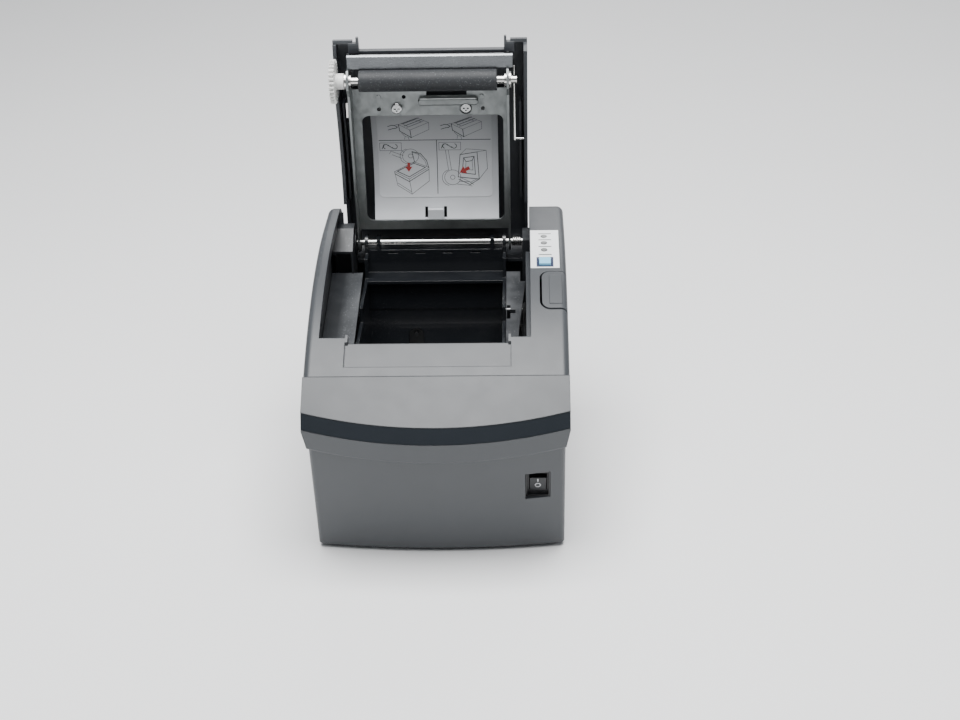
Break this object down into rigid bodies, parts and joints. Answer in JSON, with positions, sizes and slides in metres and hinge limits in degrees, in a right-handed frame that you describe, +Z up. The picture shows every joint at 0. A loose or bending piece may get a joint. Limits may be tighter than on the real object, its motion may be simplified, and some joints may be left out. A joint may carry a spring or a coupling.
{
  "type": "receipt printer",
  "caption": "Counter-top thermal receipt printer with a hinged lid standing open over its paper roll bin, platen roller on the lid, front cover, release and feed buttons and power rocker.",
  "frame": {"origin": "middle of the printer's box at the surface its feet rest on, lid standing open", "axes": "+X to the printer's right as seen from its front, +Y to its rear, +Z up"},
  "size_m": [0.145, 0.202, 0.2553],
  "materials": {
    "casing_plastic": "fine moulded texture",
    "band_plastic": "smooth moulded",
    "black_plastic": "moulded",
    "sheet_steel": "rolled, zinc plated",
    "bright_steel": "turned, nickel plated",
    "heatsink_aluminium": "drawn",
    "head_ceramic": "glazed",
    "black_rubber": "ground",
    "white_plastic": "moulded",
    "panel_plastic": "smooth moulded",
    "label_film": "printed film",
    "led_lens": "tinted",
    "blue_plastic": "moulded",
    "board": "solder resist"
  },
  "bodies": {
    "printer_body": {"upper_case": "casing_plastic", "lower_case": "casing_plastic", "bottom_cover": "casing_plastic", "rubber_feet": "black_rubber", "case_screws": "bright_steel", "paper_bin": "black_plastic", "left_side_frame": "black_plastic", "right_side_frame": "black_plastic", "hinge_rod": "bright_steel", "hinge_spring": "bright_steel", "head_bracket": "sheet_steel", "head_springs": "bright_steel", "cutter_frame": "black_plastic", "paper_sensor": "black_plastic", "idler_pin": "bright_steel", "feed_motor": "bright_steel", "control_label": "label_film", "status_leds": "led_lens", "panel_board": "board", "switch_housing": "black_plastic", "rear_panel": "sheet_steel", "main_board": "board", "power_inlet": "black_plastic", "drawer_port": "black_plastic", "network_port": "black_plastic", "data_port": "black_plastic"},
    "front_cover": {"front_cover": "casing_plastic", "front_band": "band_plastic"},
    "lid": {"cover_shell": "casing_plastic", "cover_frame": "sheet_steel", "inner_panel": "panel_plastic", "instruction_label": "label_film", "fixed_blade": "sheet_steel", "grip_tab": "black_plastic", "platen_bearings": "bright_steel", "cover_screws": "bright_steel", "latch_wire": "bright_steel", "latch_hook": "bright_steel"},
    "platen": {"platen_shaft": "bright_steel", "platen_rubber": "black_rubber", "platen_gear": "white_plastic"},
    "print_head": {"head_element": "head_ceramic", "head_heatsink": "heatsink_aluminium"},
    "cutter_blade": {"cutter_blade": "bright_steel"},
    "idler_gear": {"idler_gear": "white_plastic"},
    "pinion_gear": {"pinion_gear": "bright_steel"},
    "open_button": {"open_button": "casing_plastic"},
    "feed_button": {"feed_button": "blue_plastic"},
    "power_rocker": {"power_rocker": "black_plastic"}
  },
  "joints": [
    {"name": "lid_hinge", "type": "hinge", "parent": "printer_body", "child": "lid", "pos_m": [0, 0.07945, 0.1244], "axis": [1, 0, 0], "range_deg": [0, 90]},
    {"name": "platen_spin", "type": "hinge", "parent": "lid", "child": "platen", "pos_m": [0, 0.06455, 0.23195], "axis": [1, 0, 0], "continuous": true},
    {"name": "head_tip", "type": "hinge", "parent": "printer_body", "child": "print_head", "pos_m": [0, -0.0367, 0.0995], "axis": [1, 0, 0], "range_deg": [0, 3], "stiffness_Nm_per_rad": 2, "springref_deg": -5.73},
    {"name": "cutter_slide", "type": "slide", "parent": "printer_body", "child": "cutter_blade", "axis": [0, 1, 0], "range_m": [0, 0.0105]},
    {"name": "pinion_spin", "type": "hinge", "parent": "printer_body", "child": "pinion_gear", "pos_m": [0, -0.03964, 0.08347], "axis": [1, 0, 0], "continuous": true},
    {"name": "idler_spin", "type": "hinge", "parent": "printer_body", "child": "idler_gear", "pos_m": [0, -0.0281, 0.08935], "axis": [1, 0, 0], "continuous": true},
    {"name": "front_cover_pull", "type": "slide", "parent": "printer_body", "child": "front_cover", "axis": [0, -1, 0], "range_m": [0, 0.03]},
    {"name": "open_button_press", "type": "slide", "parent": "printer_body", "child": "open_button", "axis": [0, 0, -1], "range_m": [0, 0.002], "stiffness_N_per_m": 600, "springref_m": -0.0005},
    {"name": "feed_button_press", "type": "slide", "parent": "printer_body", "child": "feed_button", "axis": [0, 0.1883, -0.9821], "range_m": [0, 0.001], "stiffness_N_per_m": 300, "springref_m": -0.0003},
    {"name": "power_rock", "type": "hinge", "parent": "printer_body", "child": "power_rocker", "pos_m": [0, -0.07767, 0.0488], "axis": [1, 0, 0], "range_deg": [-16, 0]}
  ],
  "couplings": [
    {"joint": "idler_spin", "follows": "platen_spin", "ratio": -1.5},
    {"joint": "pinion_spin", "follows": "platen_spin", "ratio": 2.5}
  ]
}
